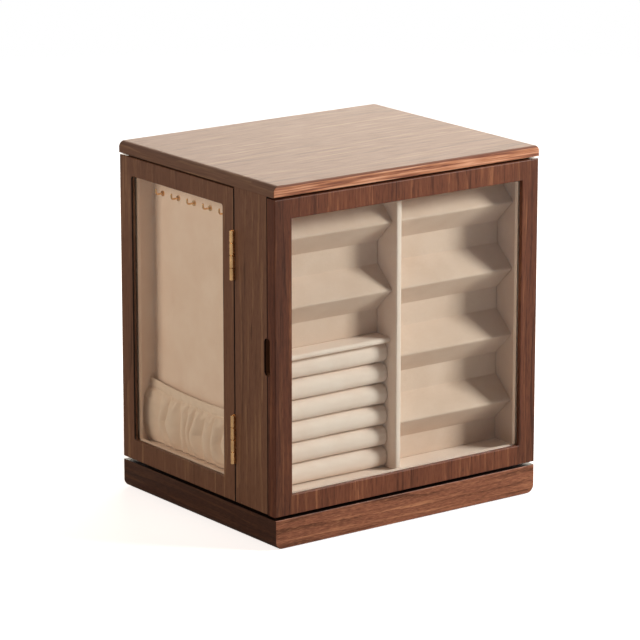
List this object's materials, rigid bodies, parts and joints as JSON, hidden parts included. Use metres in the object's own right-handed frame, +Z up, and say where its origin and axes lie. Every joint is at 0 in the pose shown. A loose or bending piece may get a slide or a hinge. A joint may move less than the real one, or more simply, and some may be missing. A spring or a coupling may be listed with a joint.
{
  "type": "rotating jewelry organizer",
  "caption": "Walnut jewelry cabinet that turns on a plinth, with glass doors over earring shelves, ring rolls and necklace hooks, and drawers behind.",
  "frame": {"origin": "on the surface that the organizer stands on, under the turning axis, at the middle of the bounding box's bottom", "axes": "+X to the right seen from the front door, +Y to the back, +Z up along the turning axis"},
  "size_m": [0.2652, 0.211, 0.2876],
  "materials": {
    "walnut": "satin lacquered walnut veneer",
    "board": "plain fibreboard",
    "velvet": "short cream velvet",
    "pocket_cloth": "soft gathered cloth",
    "bead": "velvet-covered glazing bead",
    "glass": "clear float glass",
    "brass": "polished brass",
    "zinc_steel": "zinc-plated",
    "ball_steel": "bright nickel or steel",
    "foot_rubber": "soft black rubber"
  },
  "bodies": {
    "base": {"base_plinth": "walnut", "base_cover": "board", "foot_pads": "foot_rubber", "bearing_lower_plate": "zinc_steel", "bearing_lower_screws": "zinc_steel"},
    "bearing_cage": {"bearing_cage": "zinc_steel", "bearing_balls": "ball_steel"},
    "cabinet": {"bearing_upper_plate": "zinc_steel", "bearing_upper_screws": "zinc_steel", "bottom_board": "walnut", "ceiling_board": "walnut", "top_board": "walnut", "left_side_panel": "walnut", "right_side_panel": "walnut", "front_partition": "board", "inner_panels": "board", "back_posts": "walnut", "drawer_shelves": "walnut", "front_lining_cards": "velvet", "front_divider": "velvet", "earring_panel_left": "velvet", "earring_panel_right": "velvet", "ring_unit_top": "velvet", "ring_rolls": "velvet", "left_necklace_tray": "velvet", "right_necklace_tray": "velvet", "necklace_hooks": "brass", "left_pocket": "pocket_cloth", "right_pocket": "pocket_cloth", "cabinet_hinge_leaves": "brass", "cabinet_hinge_screws": "brass", "hinge_pins": "brass", "cabinet_magnets": "ball_steel"},
    "front_door": {"front_door_frame": "walnut", "front_door_glass": "glass", "front_door_bead": "bead", "front_door_hinge_leaves": "brass", "front_door_hinge_screws": "brass", "front_door_magnets": "ball_steel"},
    "left_door": {"left_door_frame": "walnut", "left_door_glass": "glass", "left_door_bead": "bead", "left_door_hinge_leaves": "brass", "left_door_hinge_screws": "brass", "left_door_magnets": "ball_steel"},
    "right_door": {"right_door_frame": "walnut", "right_door_glass": "glass", "right_door_bead": "bead", "right_door_hinge_leaves": "brass", "right_door_hinge_screws": "brass", "right_door_magnets": "ball_steel"},
    "drawer_1": {"drawer_1_front": "walnut", "drawer_1_box": "velvet"},
    "drawer_2": {"drawer_2_front": "walnut", "drawer_2_box": "velvet"},
    "drawer_3": {"drawer_3_front": "walnut", "drawer_3_box": "velvet"},
    "drawer_4": {"drawer_4_front": "walnut", "drawer_4_box": "velvet"}
  },
  "joints": [
    {"name": "turntable_spin", "type": "hinge", "parent": "base", "child": "cabinet", "pos_m": [0, 0, 0.0267], "axis": [0, 0, 1], "continuous": true},
    {"name": "ball_cage_spin", "type": "hinge", "parent": "base", "child": "bearing_cage", "pos_m": [0, 0, 0.0267], "axis": [0, 0, 1], "continuous": true},
    {"name": "front_door_swing", "type": "hinge", "parent": "cabinet", "child": "front_door", "pos_m": [0.13075, -0.0955, 0.1517], "axis": [0, 0, 1], "range_deg": [0, 120]},
    {"name": "left_door_swing", "type": "hinge", "parent": "cabinet", "child": "left_door", "pos_m": [-0.13075, -0.0519, 0.1517], "axis": [0, 0, 1], "range_deg": [0, 120]},
    {"name": "right_door_swing", "type": "hinge", "parent": "cabinet", "child": "right_door", "pos_m": [0.13075, -0.0519, 0.1517], "axis": [0, 0, -1], "range_deg": [0, 120]},
    {"name": "drawer_1_slide", "type": "slide", "parent": "cabinet", "child": "drawer_1", "axis": [0, 1, 0], "range_m": [0, 0.11]},
    {"name": "drawer_2_slide", "type": "slide", "parent": "cabinet", "child": "drawer_2", "axis": [0, 1, 0], "range_m": [0, 0.11]},
    {"name": "drawer_3_slide", "type": "slide", "parent": "cabinet", "child": "drawer_3", "axis": [0, 1, 0], "range_m": [0, 0.11]},
    {"name": "drawer_4_slide", "type": "slide", "parent": "cabinet", "child": "drawer_4", "axis": [0, 1, 0], "range_m": [0, 0.11]}
  ],
  "couplings": [
    {"joint": "ball_cage_spin", "follows": "turntable_spin", "ratio": 0.5}
  ]
}
